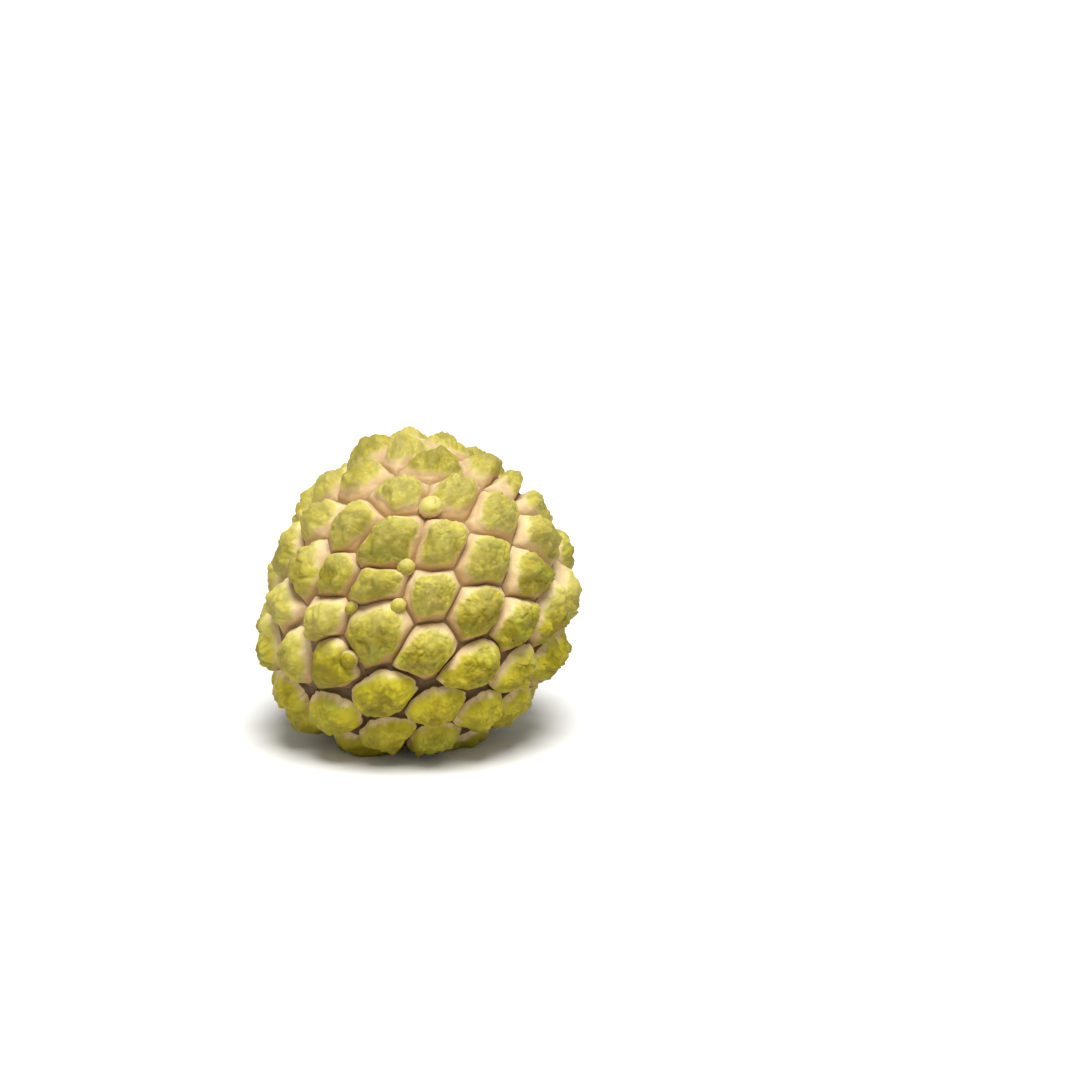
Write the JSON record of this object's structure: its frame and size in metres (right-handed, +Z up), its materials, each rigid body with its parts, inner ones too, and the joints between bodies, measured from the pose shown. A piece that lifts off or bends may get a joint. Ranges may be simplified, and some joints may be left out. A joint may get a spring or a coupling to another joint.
{
  "type": "custard apple",
  "caption": "Whole ripe custard apple lying on its side: a rounded fruit of fused knobbly segments in a spiral, with deep creases and a small flattened resting spot.",
  "frame": {"origin": "centre of the fruit's bounding box in X and Y, on the surface that it rests on", "axes": "+Z up, the blossom end low towards -X and a little -Y, the stem end high towards +X and a little +Y"},
  "size_m": [0.0836, 0.0828, 0.0809],
  "materials": {
    "skin": "matt, knobbly yellow-green fruit skin with cream and tan margins and brown creases"
  },
  "bodies": {
    "root": {"custard_apple": "skin"}
  },
  "joints": []
}
